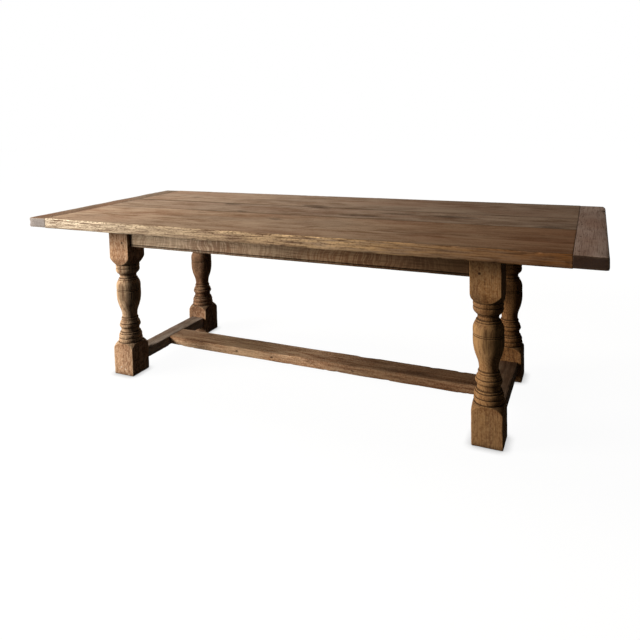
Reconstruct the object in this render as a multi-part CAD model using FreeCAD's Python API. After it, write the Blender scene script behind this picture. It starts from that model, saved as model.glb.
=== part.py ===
import FreeCAD, Part
import math
import os

# Refectory table in oak: a cleated board top on four turned legs, joined by
# aprons and an H of flat stretchers. Lengths are in millimetres, +X runs along
# the table, -Y is the front, and the floor under its middle is the origin.

# Whole table
table_height = 770
top_length = 2490
top_width = 1020
top_thickness = 46

# Boards and cleats of the top
cleat_width = 104
front_board_width = 415
middle_board_width = 235
top_arris_radius = 3
top_corner_radius = 7
seam_chamfer = 0.8

# Tongues on the board ends, which the cleats house
end_tongue_thickness = 15
end_tongue_length = 30
end_tongue_inset = 24

# Loose tongues between the boards
loose_tongue_thickness = 10
loose_tongue_width = 28
loose_tongue_stop = 70

# Pegs through cleats and end tongues, placed across half the top's width
cleat_peg_diameter = 9
cleat_peg_shares = (-0.89, -0.42, 0.04, 0.42, 0.82)

# Legs: square blocks at top and foot, turned between them, under an overhanging top
leg_side = 114
end_overhang = 340
side_overhang = 157
foot_block_height = 125
head_block_height = 158
leg_arris_radius = 2.5

# Aprons
apron_height = 102
apron_thickness = 32
apron_setback = 16
bead_height = 9
bead_radius = 4
bead_groove_width = 3
bead_groove_depth = 1.6

# Haunched tenons of the aprons
tenon_thickness = 12
tenon_lower_shoulder = 10
haunch_height = 22
haunch_length = 15
tenon_wall = 6

# End stretchers, tenoned into the foot blocks
end_stretcher_width = 80
end_stretcher_height = 48
stretcher_floor_gap = 44
end_stretcher_tenon_width = 24
end_stretcher_tenon_height = 32
end_stretcher_tenon_length = 62
stretcher_arris_radius = 4

# Centre stretcher, tenoned into the end stretchers with its top level with theirs
centre_stretcher_width = 118
centre_stretcher_height = 43
centre_tenon_width = 78
centre_tenon_thickness = 16
centre_tenon_length = 52
end_relief_height = 5
end_relief_length = 130
centre_peg_spacing = 44

# Bearer across the middle, under the boards
bearer_thickness = 36
bearer_height = 70
bearer_tenon_length = 16
bearer_tenon_height = 46

# Pegs of the frame
peg_diameter = 10
peg_inset = 10
peg_grip = 20
peg_tip_chamfer = 1.5
centre_peg_grip = 6

# Buttons that hold the top down, hooked into a groove in the aprons
button_length = 46
button_width = 32
button_thickness = 20
button_tongue_length = 11
button_tongue_thickness = 9
button_groove_top = 10
button_groove_height = 10
button_groove_depth = 13
long_button_shares = (-0.38, -0.15, 0.15, 0.38)
end_button_shares = (-0.36, 0.02, 0.36)

# Countersunk screws of the buttons
screw_head_diameter = 8.6
screw_head_height = 3
screw_shank_diameter = 4.6
screw_bite = 16
screw_tip_length = 5

# Fits and cuts
joint_clearance = 0.2
peg_clearance = 0.1
overrun = 5

# Outline of the turned stretch from the foot block up to the head block.
# Each row ends a line or arc: height share of the stretch, radius share of half
# the leg's side, and bulge share of the chord, which is 0 on a straight line.
# A row of seven ends a curve and gives that curve's two pulling points first.
block_corner_share = math.sqrt(2)
turning_shares = (
    # lower pommel, where the square corners run out
    (0.067, 0.984, 0.10),
    (0.067, 0.940, 0),
    # base ring, then a half round and its fillet
    (0.109, 0.937, 0.13),
    (0.109, 0.902, 0),
    (0.116, 0.902, 0),
    (0.116, 0.926, 0),
    (0.155, 0.881, 0.13),
    (0.155, 0.818, 0),
    (0.160, 0.818, 0),
    (0.160, 0.842, 0),
    (0.173, 0.828, 0.15),
    (0.173, 0.779, 0),
    # cove, then the ring over it
    (0.229, 0.786, -0.09),
    (0.229, 0.814, 0),
    (0.265, 0.818, 0.17),
    (0.265, 0.782, 0),
    (0.272, 0.782, 0),
    (0.272, 0.804, 0),
    # reversed curve that draws in to the fillet of the waist
    (0.288, 0.818, 0.290, 0.691, 0.308, 0.688, 0),
    (0.308, 0.660, 0),
    (0.313, 0.660, 0),
    (0.313, 0.681, 0),
    (0.329, 0.674, 0.18),
    (0.329, 0.632, 0),
    # vase, from the waist out to its belly
    (0.445, 0.558, 0.446, 1.046, 0.630, 0.988, 0),
    # double scratched line round the belly
    (0.630, 0.951, 0),
    (0.636, 0.951, 0),
    (0.636, 0.975, 0),
    (0.645, 0.975, 0.10),
    (0.645, 0.951, 0),
    (0.651, 0.951, 0),
    (0.651, 0.988, 0),
    # shoulder of the vase, closed by a small ring
    (0.683, 0.984, 0.705, 1.032, 0.748, 0.814, 0),
    (0.748, 0.775, 0),
    (0.753, 0.775, 0),
    (0.753, 0.789, 0),
    (0.766, 0.751, 0.16),
    (0.766, 0.705, 0),
    # neck and its upper fillet
    (0.810, 0.698, -0.05),
    (0.810, 0.747, 0),
    (0.817, 0.747, 0),
    (0.817, 0.779, 0),
    # collar of two rings
    (0.850, 0.965, 0.10),
    (0.876, 0.954, 0.06),
    (0.876, 0.919, 0),
    (0.883, 0.919, 0),
    (0.883, 0.951, 0),
    (0.915, 0.951, 0.08),
    (0.915, 0.926, 0),
    (0.923, 0.926, 0),
    (0.923, 0.984, 0),
    # upper pommel
    (1.000, block_corner_share, 0.04),
)

# Places that several pieces share
origin = FreeCAD.Vector(0, 0, 0)
along_x = FreeCAD.Vector(1, 0, 0)
along_y = FreeCAD.Vector(0, 1, 0)
along_z = FreeCAD.Vector(0, 0, 1)
sides = (-1, 1)

top_underside = table_height - top_thickness
top_middle = table_height - top_thickness / 2
board_half_length = top_length / 2 - cleat_width
seam_front = front_board_width - top_width / 2
seam_back = seam_front + middle_board_width

leg_half = leg_side / 2
leg_x = top_length / 2 - end_overhang - leg_half
leg_y = top_width / 2 - side_overhang - leg_half
long_span = 2 * leg_x - leg_side
end_span = 2 * leg_y - leg_side

apron_bottom = top_underside - apron_height
apron_face_x = leg_x + leg_half - apron_setback
apron_face_y = leg_y + leg_half - apron_setback
apron_inside_x = apron_face_x - apron_thickness
apron_inside_y = apron_face_y - apron_thickness
tenon_depth = apron_setback + apron_thickness / 2
tenon_length = leg_side - tenon_depth - tenon_thickness / 2 - tenon_wall
apron_peg_inset = tenon_length / 2
apron_peg_length = tenon_depth + tenon_thickness / 2 + peg_grip
apron_peg_heights = (
    apron_bottom + tenon_lower_shoulder + peg_inset,
    top_underside - haunch_height - peg_inset,
)

stretcher_top = stretcher_floor_gap + end_stretcher_height
stretcher_middle = stretcher_floor_gap + end_stretcher_height / 2
stretcher_peg_inset = end_stretcher_tenon_length / 2
stretcher_peg_length = leg_half + end_stretcher_tenon_width / 2 + peg_grip

centre_half_length = leg_x - end_stretcher_width / 2
centre_bottom = stretcher_top - centre_stretcher_height
centre_middle = stretcher_top - centre_stretcher_height / 2
centre_peg_x = centre_half_length + centre_tenon_length / 2
centre_peg_length = centre_middle + centre_tenon_thickness / 2 + centre_peg_grip - stretcher_floor_gap

button_screw_inset = button_length / 2
screw_length = button_thickness + screw_bite


def block(low, high):
    size = [b - a for a, b in zip(low, high)]
    return Part.makeBox(*size, FreeCAD.Vector(*low))


def rod(start, direction, diameter, length):
    return Part.makeCylinder(diameter / 2, length, start, direction)


def prism(points, direction):
    outline = Part.makePolygon([FreeCAD.Vector(*p) for p in points + points[:1]])
    return Part.Face(outline).extrude(direction)


def lathe(points):
    corners = [FreeCAD.Vector(radius, 0, height) for radius, height in points + points[:1]]
    return Part.Face(Part.makePolygon(corners)).revolve(origin, along_z)


def joined(pieces):
    return pieces[0].fuse(pieces[1:]).removeSplitter()


def edges_where(shape, test):
    return [e for e in shape.Edges if test(e.CenterOfMass)]


def near(a, b):
    return math.isclose(a, b, abs_tol=FreeCAD.Base.Precision.confusion())


def mirrored_x(shape):
    return shape.mirror(origin, along_x)


def mirrored_y(shape):
    return shape.mirror(origin, along_y)


# Top

def top_holes():
    screw_hole = screw_shank_diameter + 2 * peg_clearance
    screw_depth = screw_length + peg_clearance
    peg_hole = cleat_peg_diameter + 2 * peg_clearance
    holes = [rod(place, along_z, screw_hole, screw_depth) for place in button_screw_places()]
    return holes + [rod(place, along_z, peg_hole, top_thickness) for place in cleat_peg_places()]


def loose_tongue(seam, slack):
    half_length = board_half_length - loose_tongue_stop + slack
    half_width = loose_tongue_width / 2 + slack
    half_height = loose_tongue_thickness / 2 + slack
    low = (-half_length, seam - half_width, top_middle - half_height)
    high = (half_length, seam + half_width, top_middle + half_height)
    return block(low, high)


def top_board(front, back):
    body = block((-board_half_length, front, top_underside), (board_half_length, back, table_height))
    outer = [y for y in (front, back) if near(abs(y), top_width / 2)]
    inner = [y for y in (front, back) if y not in outer]
    if outer:
        worn = edges_where(body, lambda c: near(c.x, 0) and any(near(c.y, y) for y in outer))
        body = body.makeFillet(top_arris_radius, worn)
    seams = edges_where(body, lambda c: near(c.z, table_height)
                        and (any(near(c.y, y) for y in inner) or near(abs(c.x), board_half_length)))
    body = body.makeChamfer(seam_chamfer, seams)
    tongue_limit = top_width / 2 - end_tongue_inset
    tongue_front = max(front, -tongue_limit)
    tongue_back = min(back, tongue_limit)
    reach = board_half_length + end_tongue_length
    half_height = end_tongue_thickness / 2
    tongues = block((-reach, tongue_front, top_middle - half_height),
                    (reach, tongue_back, top_middle + half_height))
    grooves = [loose_tongue(seam, joint_clearance) for seam in (seam_front, seam_back)]
    return joined([body, tongues]).cut(grooves + top_holes())


def right_cleat():
    inside = board_half_length
    outside = top_length / 2
    half_width = top_width / 2
    body = block((inside, -half_width, top_underside), (outside, half_width, table_height))
    corners = edges_where(body, lambda c: near(c.x, outside) and near(abs(c.y), half_width))
    body = body.makeFillet(top_corner_radius, corners)
    rims = edges_where(body, lambda c: near(c.z, table_height) or near(c.z, top_underside))
    worn = [rim for rim in rims if not near(rim.CenterOfMass.x, inside)]
    body = body.makeFillet(top_arris_radius, worn)
    groove_half = half_width - end_tongue_inset + joint_clearance
    groove_height = end_tongue_thickness / 2 + joint_clearance
    groove_end = inside + end_tongue_length + joint_clearance
    groove = block((inside - overrun, -groove_half, top_middle - groove_height),
                   (groove_end, groove_half, top_middle + groove_height))
    return body.cut([groove] + top_holes())


def cleat_peg_places():
    x = board_half_length + end_tongue_length / 2
    rows = [share * top_width / 2 for share in cleat_peg_shares]
    return [FreeCAD.Vector(side * x, y, top_underside) for side in sides for y in rows]


# Legs

def turned_edges():
    edges = []
    start = FreeCAD.Vector(leg_half * block_corner_share, 0, foot_block_height)
    stretch = top_underside - head_block_height - foot_block_height

    def at(height_share, radius_share):
        return FreeCAD.Vector(leg_half * radius_share, 0, foot_block_height + stretch * height_share)

    for *pulls, height_share, radius_share, bulge_share in turning_shares:
        end = at(height_share, radius_share)
        chord = end - start
        if pulls:
            curve = Part.BezierCurve()
            curve.setPoles([start, at(*pulls[:2]), at(*pulls[2:]), end])
        elif bulge_share:
            outward = FreeCAD.Vector(chord.z, 0, -chord.x)
            curve = Part.Arc(start, (start + end) / 2 + outward * bulge_share, end)
        else:
            curve = Part.LineSegment(start, end)
        edges.append(curve.toShape())
        start = end
    return edges


def turned_body():
    edges = turned_edges()
    first = edges[0].Vertexes[0].Point
    last = edges[-1].Vertexes[-1].Point
    corners = [
        last,
        FreeCAD.Vector(leg_side, 0, last.z),
        FreeCAD.Vector(leg_side, 0, top_underside + overrun),
        FreeCAD.Vector(0, 0, top_underside + overrun),
        FreeCAD.Vector(0, 0, -overrun),
        FreeCAD.Vector(leg_side, 0, -overrun),
        FreeCAD.Vector(leg_side, 0, first.z),
        first,
    ]
    outline = Part.Wire(edges + Part.makePolygon(corners).Edges)
    return Part.Face(outline).revolve(origin, along_z)


def apron_joint_cuts():
    depth = tenon_length + joint_clearance
    middle = apron_setback + apron_thickness / 2 - leg_half
    half = tenon_thickness / 2 + joint_clearance
    cheek_low = middle - half
    cheek_high = middle + half
    bottom = apron_bottom + tenon_lower_shoulder - joint_clearance
    shelf = top_underside - haunch_height + joint_clearance
    mortise = block((leg_half - depth, cheek_low, bottom), (leg_half, cheek_high, shelf))
    haunch_start = leg_half - haunch_length - joint_clearance
    haunch = block((haunch_start, cheek_low, shelf), (leg_half, cheek_high, top_underside))
    cuts = [mortise, haunch]
    for height in apron_peg_heights:
        start = FreeCAD.Vector(leg_half - apron_peg_inset, -leg_half, height)
        cuts.append(rod(start, along_y, peg_diameter + 2 * peg_clearance, apron_peg_length + peg_clearance))
    return cuts


def stretcher_joint_cuts():
    half_width = end_stretcher_tenon_width / 2 + joint_clearance
    half_height = end_stretcher_tenon_height / 2 + joint_clearance
    depth = end_stretcher_tenon_length + joint_clearance
    mortise = block((-half_width, leg_half - depth, stretcher_middle - half_height),
                    (half_width, leg_half, stretcher_middle + half_height))
    start = FreeCAD.Vector(-leg_half, leg_half - stretcher_peg_inset, stretcher_middle)
    hole = rod(start, along_x, peg_diameter + 2 * peg_clearance, stretcher_peg_length + peg_clearance)
    return [mortise, hole]


def front_left_leg():
    stock = block((-leg_half, -leg_half, 0), (leg_half, leg_half, top_underside))
    arrises = edges_where(stock, lambda c: near(c.z, top_underside / 2))
    stock = stock.makeFillet(leg_arris_radius, arrises)
    body = stock.common(turned_body())
    long_cuts = apron_joint_cuts()
    end_cuts = [cut.mirror(origin, along_x - along_y) for cut in long_cuts]
    body = body.cut(long_cuts + end_cuts + stretcher_joint_cuts())
    return body.translated(FreeCAD.Vector(-leg_x, -leg_y, 0))


# Aprons

def apron_section(length):
    groove_middle = bead_height + bead_groove_width / 2
    groove_top = bead_height + bead_groove_width
    arc_share = 1 - math.sqrt(0.5)

    def at(inward, up):
        return FreeCAD.Vector(-length / 2, inward, up)

    round_middle = at(bead_radius * arc_share, bead_radius * arc_share)
    edges = [
        Part.LineSegment(at(apron_thickness, 0), at(bead_radius, 0)),
        Part.Arc(at(bead_radius, 0), round_middle, at(0, bead_radius)),
        Part.LineSegment(at(0, bead_radius), at(0, bead_height)),
        Part.Arc(at(0, bead_height), at(bead_groove_depth, groove_middle), at(0, groove_top)),
        Part.LineSegment(at(0, groove_top), at(0, apron_height)),
        Part.LineSegment(at(0, apron_height), at(apron_thickness, apron_height)),
        Part.LineSegment(at(apron_thickness, apron_height), at(apron_thickness, 0)),
    ]
    outline = Part.Wire([edge.toShape() for edge in edges])
    return Part.Face(outline).extrude(along_x * length)


def haunched_tenons(length):
    reach = length / 2 + tenon_length
    haunch_reach = length / 2 + haunch_length
    shelf = apron_height - haunch_height
    low = apron_thickness / 2 - tenon_thickness / 2
    outline = [
        (-reach, low, tenon_lower_shoulder),
        (reach, low, tenon_lower_shoulder),
        (reach, low, shelf),
        (haunch_reach, low, shelf),
        (haunch_reach, low, apron_height),
        (-haunch_reach, low, apron_height),
        (-haunch_reach, low, shelf),
        (-reach, low, shelf),
    ]
    return prism(outline, along_y * tenon_thickness)


def apron(length):
    body = joined([apron_section(length), haunched_tenons(length)])
    groove_top = apron_height - button_groove_top
    groove_low = groove_top - button_groove_height
    groove = block((-length / 2, apron_thickness - button_groove_depth, groove_low),
                   (length / 2, apron_thickness + overrun, groove_top))
    cuts = [groove]
    for side in sides:
        for height in apron_peg_heights:
            start = FreeCAD.Vector(side * (length / 2 + apron_peg_inset), 0, height - apron_bottom)
            cuts.append(rod(start, along_y, peg_diameter + 2 * peg_clearance, apron_thickness))
    return body.cut(cuts)


def front_apron():
    body = apron(long_span).translated(FreeCAD.Vector(0, -apron_face_y, apron_bottom))
    return body.cut(bearer_tenon(joint_clearance))


def left_apron():
    body = apron(end_span)
    place = FreeCAD.Vector(-apron_face_x, 0, apron_bottom)
    body.Placement = FreeCAD.Placement(place, FreeCAD.Rotation(along_x, -along_y))
    return body


# Bearer

def bearer_tenon(slack):
    half = tenon_thickness / 2 + slack
    half_height = bearer_tenon_height / 2 + slack
    middle = top_underside - bearer_height / 2
    reach = apron_inside_y + bearer_tenon_length + slack
    return block((-half, -reach, middle - half_height), (half, reach, middle + half_height))


def middle_bearer():
    half = bearer_thickness / 2
    bottom = top_underside - bearer_height
    body = block((-half, -apron_inside_y, bottom), (half, apron_inside_y, top_underside))
    return joined([body, bearer_tenon(0)])


# Stretchers

def left_end_stretcher():
    half = end_stretcher_width / 2
    body = block((-half, -end_span / 2, stretcher_floor_gap), (half, end_span / 2, stretcher_top))
    arrises = edges_where(body, lambda c: near(c.y, 0))
    body = body.makeFillet(stretcher_arris_radius, arrises)
    tenon_half = end_stretcher_tenon_width / 2
    tenon_up = end_stretcher_tenon_height / 2
    reach = end_span / 2 + end_stretcher_tenon_length
    tenons = block((-tenon_half, -reach, stretcher_middle - tenon_up),
                   (tenon_half, reach, stretcher_middle + tenon_up))
    cuts = []
    for side in sides:
        start = FreeCAD.Vector(-half, side * (end_span / 2 + stretcher_peg_inset), stretcher_middle)
        cuts.append(rod(start, along_x, peg_diameter + 2 * peg_clearance, end_stretcher_width))
    body = joined([body, tenons]).cut(cuts).translated(FreeCAD.Vector(-leg_x, 0, 0))
    return body.cut([centre_tenons(joint_clearance)] + centre_peg_holes())


def centre_tenons(slack):
    reach = centre_half_length + centre_tenon_length + slack
    half_width = centre_tenon_width / 2 + slack
    half_height = centre_tenon_thickness / 2 + slack
    return block((-reach, -half_width, centre_middle - half_height),
                 (reach, half_width, centre_middle + half_height))


def centre_peg_places():
    row = centre_peg_spacing / 2
    return [FreeCAD.Vector(a * centre_peg_x, b * row, stretcher_floor_gap) for a in sides for b in sides]


def centre_peg_holes():
    size = peg_diameter + 2 * peg_clearance
    return [rod(place, along_z, size, centre_peg_length + peg_clearance) for place in centre_peg_places()]


def centre_stretcher():
    half_width = centre_stretcher_width / 2
    flat = centre_half_length - end_relief_length
    end_bottom = centre_bottom + end_relief_height
    outline = [
        (-centre_half_length, -half_width, end_bottom),
        (-flat, -half_width, centre_bottom),
        (flat, -half_width, centre_bottom),
        (centre_half_length, -half_width, end_bottom),
        (centre_half_length, -half_width, stretcher_top),
        (-centre_half_length, -half_width, stretcher_top),
    ]
    body = prism(outline, along_y * centre_stretcher_width)
    top_edges = edges_where(body, lambda c: near(c.z, stretcher_top))
    arrises = [edge for edge in top_edges if near(edge.CenterOfMass.x, 0)]
    body = body.makeFillet(stretcher_arris_radius, arrises)
    return joined([body, centre_tenons(0)]).cut(centre_peg_holes())


# Pegs

def peg(start, direction, length, diameter=peg_diameter):
    radius = diameter / 2
    tip = radius - peg_tip_chamfer
    body = lathe([
        (0, 0),
        (radius, 0),
        (radius, length - peg_tip_chamfer),
        (tip, length),
        (0, length),
    ])
    body.Placement = FreeCAD.Placement(start, FreeCAD.Rotation(along_z, direction))
    return body


def long_apron_pegs():
    pegs = []
    for a in sides:
        for b in sides:
            x = a * (long_span / 2 + apron_peg_inset)
            face = b * (leg_y + leg_half)
            for height in apron_peg_heights:
                pegs.append(peg(FreeCAD.Vector(x, face, height), along_y * -b, apron_peg_length))
    return pegs


def end_apron_pegs():
    pegs = []
    for a in sides:
        for b in sides:
            y = b * (end_span / 2 + apron_peg_inset)
            face = a * (leg_x + leg_half)
            for height in apron_peg_heights:
                pegs.append(peg(FreeCAD.Vector(face, y, height), along_x * -a, apron_peg_length))
    return pegs


def end_stretcher_pegs():
    pegs = []
    for a in sides:
        for b in sides:
            y = b * (end_span / 2 + stretcher_peg_inset)
            start = FreeCAD.Vector(a * (leg_x + leg_half), y, stretcher_middle)
            pegs.append(peg(start, along_x * -a, stretcher_peg_length))
    return pegs


def centre_stretcher_pegs():
    return [peg(place, along_z, centre_peg_length) for place in centre_peg_places()]


def cleat_pegs():
    lift = along_z * top_thickness
    return [peg(place + lift, -along_z, top_thickness, cleat_peg_diameter) for place in cleat_peg_places()]


# Buttons and their screws

def button_places():
    places = []
    for side in sides:
        for share in long_button_shares:
            place = FreeCAD.Vector(share * long_span, side * apron_inside_y, top_underside)
            places.append((place, along_y * -side))
        for share in end_button_shares:
            place = FreeCAD.Vector(side * apron_inside_x, share * end_span, top_underside)
            places.append((place, along_x * -side))
    return places


def button():
    half_width = button_width / 2
    tongue_top = -button_groove_top - peg_clearance
    tongue_low = tongue_top - button_tongue_thickness
    outline = [
        (0, -half_width, 0),
        (button_length, -half_width, 0),
        (button_length, -half_width, -button_thickness),
        (0, -half_width, -button_thickness),
        (0, -half_width, tongue_low),
        (-button_tongue_length, -half_width, tongue_low),
        (-button_tongue_length, -half_width, tongue_top),
        (0, -half_width, tongue_top),
    ]
    body = prism(outline, along_y * button_width)
    start = FreeCAD.Vector(button_screw_inset, 0, -button_thickness)
    return body.cut(screw_shape(2 * peg_clearance).translated(start))


def screw_shape(slack):
    head = screw_head_diameter / 2 + slack / 2
    shank = screw_shank_diameter / 2 + slack / 2
    return lathe([
        (0, 0),
        (head, 0),
        (shank, screw_head_height),
        (shank, screw_length - screw_tip_length),
        (0, screw_length),
    ])


def button_screw_places():
    drop = along_z * button_thickness
    return [place + inward * button_screw_inset - drop for place, inward in button_places()]


def top_buttons():
    buttons = []
    for place, inward in button_places():
        body = button()
        body.rotate(origin, along_z, math.degrees(math.atan2(inward.y, inward.x)))
        body.translate(place)
        buttons.append(body)
    return buttons


def button_screws():
    return [screw_shape(0).translated(place) for place in button_screw_places()]


# Pieces by the name that each is filed under

leg = front_left_leg()
long_apron = front_apron()
end_apron = left_apron()
end_stretcher = left_end_stretcher()
cleat = right_cleat()

pieces = {
    "top_board_front": top_board(-top_width / 2, seam_front),
    "top_board_middle": top_board(seam_front, seam_back),
    "top_board_back": top_board(seam_back, top_width / 2),
    "cleat_left": mirrored_x(cleat),
    "cleat_right": cleat,
    "loose_tongue_front": loose_tongue(seam_front, 0),
    "loose_tongue_back": loose_tongue(seam_back, 0),
    "cleat_pegs": Part.makeCompound(cleat_pegs()),
    "leg_front_left": leg,
    "leg_front_right": mirrored_x(leg),
    "leg_back_left": mirrored_y(leg),
    "leg_back_right": mirrored_x(mirrored_y(leg)),
    "apron_front": long_apron,
    "apron_back": mirrored_y(long_apron),
    "apron_left": end_apron,
    "apron_right": mirrored_x(end_apron),
    "end_stretcher_left": end_stretcher,
    "end_stretcher_right": mirrored_x(end_stretcher),
    "centre_stretcher": centre_stretcher(),
    "middle_bearer": middle_bearer(),
    "long_apron_pegs": Part.makeCompound(long_apron_pegs()),
    "end_apron_pegs": Part.makeCompound(end_apron_pegs()),
    "end_stretcher_pegs": Part.makeCompound(end_stretcher_pegs()),
    "centre_stretcher_pegs": Part.makeCompound(centre_stretcher_pegs()),
    "top_buttons": Part.makeCompound(top_buttons()),
    "button_screws": Part.makeCompound(button_screws()),
}

os.makedirs("parts", exist_ok=True)
for name, shape in pieces.items():
    shape.exportStep("parts/" + name + ".step")
    print(name, len(shape.Solids), "solids,", round(shape.Volume), "cubic mm, valid:", shape.isValid())
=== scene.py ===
import functools
import math
import bmesh
import bpy
from mathutils import Matrix, Vector, noise


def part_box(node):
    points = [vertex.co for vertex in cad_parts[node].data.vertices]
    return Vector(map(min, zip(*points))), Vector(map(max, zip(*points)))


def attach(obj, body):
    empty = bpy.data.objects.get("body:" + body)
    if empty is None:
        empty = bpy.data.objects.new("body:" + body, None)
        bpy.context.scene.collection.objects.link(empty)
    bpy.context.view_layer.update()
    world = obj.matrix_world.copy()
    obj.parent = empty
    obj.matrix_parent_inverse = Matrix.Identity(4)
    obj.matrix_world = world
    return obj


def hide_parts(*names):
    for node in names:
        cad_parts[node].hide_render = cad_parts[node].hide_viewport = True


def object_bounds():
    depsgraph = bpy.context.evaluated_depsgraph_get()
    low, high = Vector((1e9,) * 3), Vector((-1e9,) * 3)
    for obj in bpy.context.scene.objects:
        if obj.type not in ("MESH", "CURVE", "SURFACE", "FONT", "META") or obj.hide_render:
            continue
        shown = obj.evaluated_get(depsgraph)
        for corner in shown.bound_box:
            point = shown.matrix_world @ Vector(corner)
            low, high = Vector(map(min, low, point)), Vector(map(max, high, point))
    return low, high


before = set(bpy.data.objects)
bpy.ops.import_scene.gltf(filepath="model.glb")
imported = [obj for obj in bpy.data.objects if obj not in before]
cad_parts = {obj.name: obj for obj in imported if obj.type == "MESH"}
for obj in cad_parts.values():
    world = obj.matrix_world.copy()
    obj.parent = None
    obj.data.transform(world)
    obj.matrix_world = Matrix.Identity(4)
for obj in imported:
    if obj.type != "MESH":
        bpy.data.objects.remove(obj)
cadLow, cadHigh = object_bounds()
print("frame loaded:", len(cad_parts), "nodes")

mm = 0.001
mmPerMetre = 1000
mergeGap = 0.02 * mm
seedSteps = (7.31, 3.17)  # set the noise of one seed apart from the next
# faces of a timber: the axis that each looks along, and which way
front, back, left, right, under, over = (1, -1), (1, 1), (0, -1), (0, 1), (2, -1), (2, 1)


# Small tools for nodes and meshes
def hexColour(code):
    shares = [int(code[i:i + 2], 16) / 255 for i in (1, 3, 5)]
    return [s / 12.92 if s <= 0.04045 else ((s + 0.055) / 1.055) ** 2.4 for s in shares] + [1.0]


def addNode(tree, kind, settings=None, inputs=None, stops=None, out=0):
    node = tree.nodes.new("ShaderNode" + kind)
    if isinstance(settings, str):  # a plain word is the operation of a maths node
        settings = {"operation": settings}
    for key, value in (settings or {}).items():
        setattr(node, key, value)
    for key, value in (inputs or {}).items():
        if isinstance(value, bpy.types.NodeSocket):
            tree.links.new(value, node.inputs[key])
        else:
            node.inputs[key].default_value = value
    for i, (position, colour) in enumerate(stops or []):
        elements = node.color_ramp.elements
        element = elements[i] if i < len(elements) else elements.new(position)
        element.position = position
        element.color = hexColour(colour)
    if out is None or not node.outputs:
        return node
    return node.outputs[out]


def newMaterial(name):
    material = bpy.data.materials.new(name)
    material.use_nodes = True
    material.node_tree.nodes.clear()
    return material, functools.partial(addNode, material.node_tree)


def newBmesh():
    bm = bmesh.new()
    return bm, bm.verts.layers.float.new("soil"), bm.verts.layers.float.new("rub")


def addPiece(node, bm, material):
    bmesh.ops.remove_doubles(bm, verts=bm.verts, dist=mergeGap)
    bmesh.ops.recalc_face_normals(bm, faces=bm.faces)
    name = node.replace("_", "-")
    mesh = bpy.data.meshes.new(name)
    bm.to_mesh(mesh)
    bm.free()
    mesh.shade_smooth()
    mesh.materials.append(material)
    piece = bpy.data.objects.new(name, mesh)
    bpy.context.scene.collection.objects.link(piece)
    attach(piece, "root")
    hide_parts(node)


def ripple(place, length, seed):
    return noise.noise(Vector((place / length, seed * seedSteps[0], seed * seedSteps[1])))


# Old oak: growth rings about a pith line, open pores along the grain, ray fleck where a
# face is cut along the radius, a wax that has gone dark in hollows and thin on arrises, and
# painted shade and painted highlights laid over it
grainTurns = {"x": (0, 0, 0), "y": (0, 0, -math.pi / 2), "z": (0, math.pi / 2, 0)}
grainAxes = {"x": (1, 0, 0), "y": (0, 1, 0), "z": (0, 0, 1)}
oakGrain = {  # mm along the grain, mm across it, detail and roughness of the noise
    "wander": (520, 120, 2, 0.5),
    "uneven": (800, 70, 1, 0.5),
    "streak": (480, 20, 5, 0.6),
    "cloud": (150, 62, 5, 0.65),
    "patch": (700, 210, 2, 0.5),
    "wisp": (190, 24, 4, 0.5),
    "tint": (460, 150, 2, 0.5),
    "check": (230, 9, 2, 0.5),
    "line": (85, 4.5, 3, 0.5),
    "mottle": (7, 5, 2, 0.5),
    "fray": (12, 5, 2, 0.5),
    "pore": (26, 1.6, 2, 0.5),  # wider than real pores, which are too fine to show
    "fleckBend": (150, 60, 1, 0.5),
    "scuff": (60, 34, 4, 0.5),
    "rubStreak": (120, 9, 3, 0.5),
    "ragged": (70, 22, 3, 0.5),
    "knotGrain": (60, 7, 4, 0.5),
}
oakSpans = {  # Map Range inputs: where a pattern starts and is full, and its share at each
    "mark": {1: 0.15, 2: 1.1, 3: 1, 4: 0},
    "earlyWood": {1: 0.1, 2: 0.55, 3: 1, 4: 0.15},
    "pore": {1: 0.53, 2: 0.66},
    "fleckFade": {1: 0.2, 2: 0.6, 3: 1, 4: 0.55},
    "lathed": {3: 1, 4: 0.2},
    "tint": {1: 0.48, 2: 0.68},
    "wisp": {1: 0.57, 2: 0.72},
    "check": {1: 0.006, 2: 0.03, 4: 0},
    "checked": {1: 0.45, 2: 0.6},
    "knot": {1: 0.02, 2: 0.75},
    "knotGrain": {1: 0.36, 2: 0.6, 3: 0.3},
    "end": {1: 0.55, 2: 0.95},
    "rubStreak": {1: 0.32, 2: 0.62},
    "line": {1: 0.51, 2: 0.63},
    "fray": {1: 0.5, 2: 0.64},
    "frayFade": {1: 0.45, 2: 0.9, 3: 1, 4: 0.3},
}
oakTones = {
    "dark": "#5d4433",
    "middle": "#8a6e56",
    "light": "#b09880",
    "fleck": "#bfa68a",
    "pore": "#4a3728",
    "check": "#3a281b",
    "knot": "#3d342e",
    "grey": "#7a6c60",
    "red": "#7d5038",
    "end": "#6d5846",
    "soil": "#21160d",
    # pale tones of the wear-and-sheen mask: worn wood, and painted highlight on the legs
    "rub": "#cdb394",
    "rubMiddle": "#cdb394",
    "rubFar": "#cdb394",
}
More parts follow.
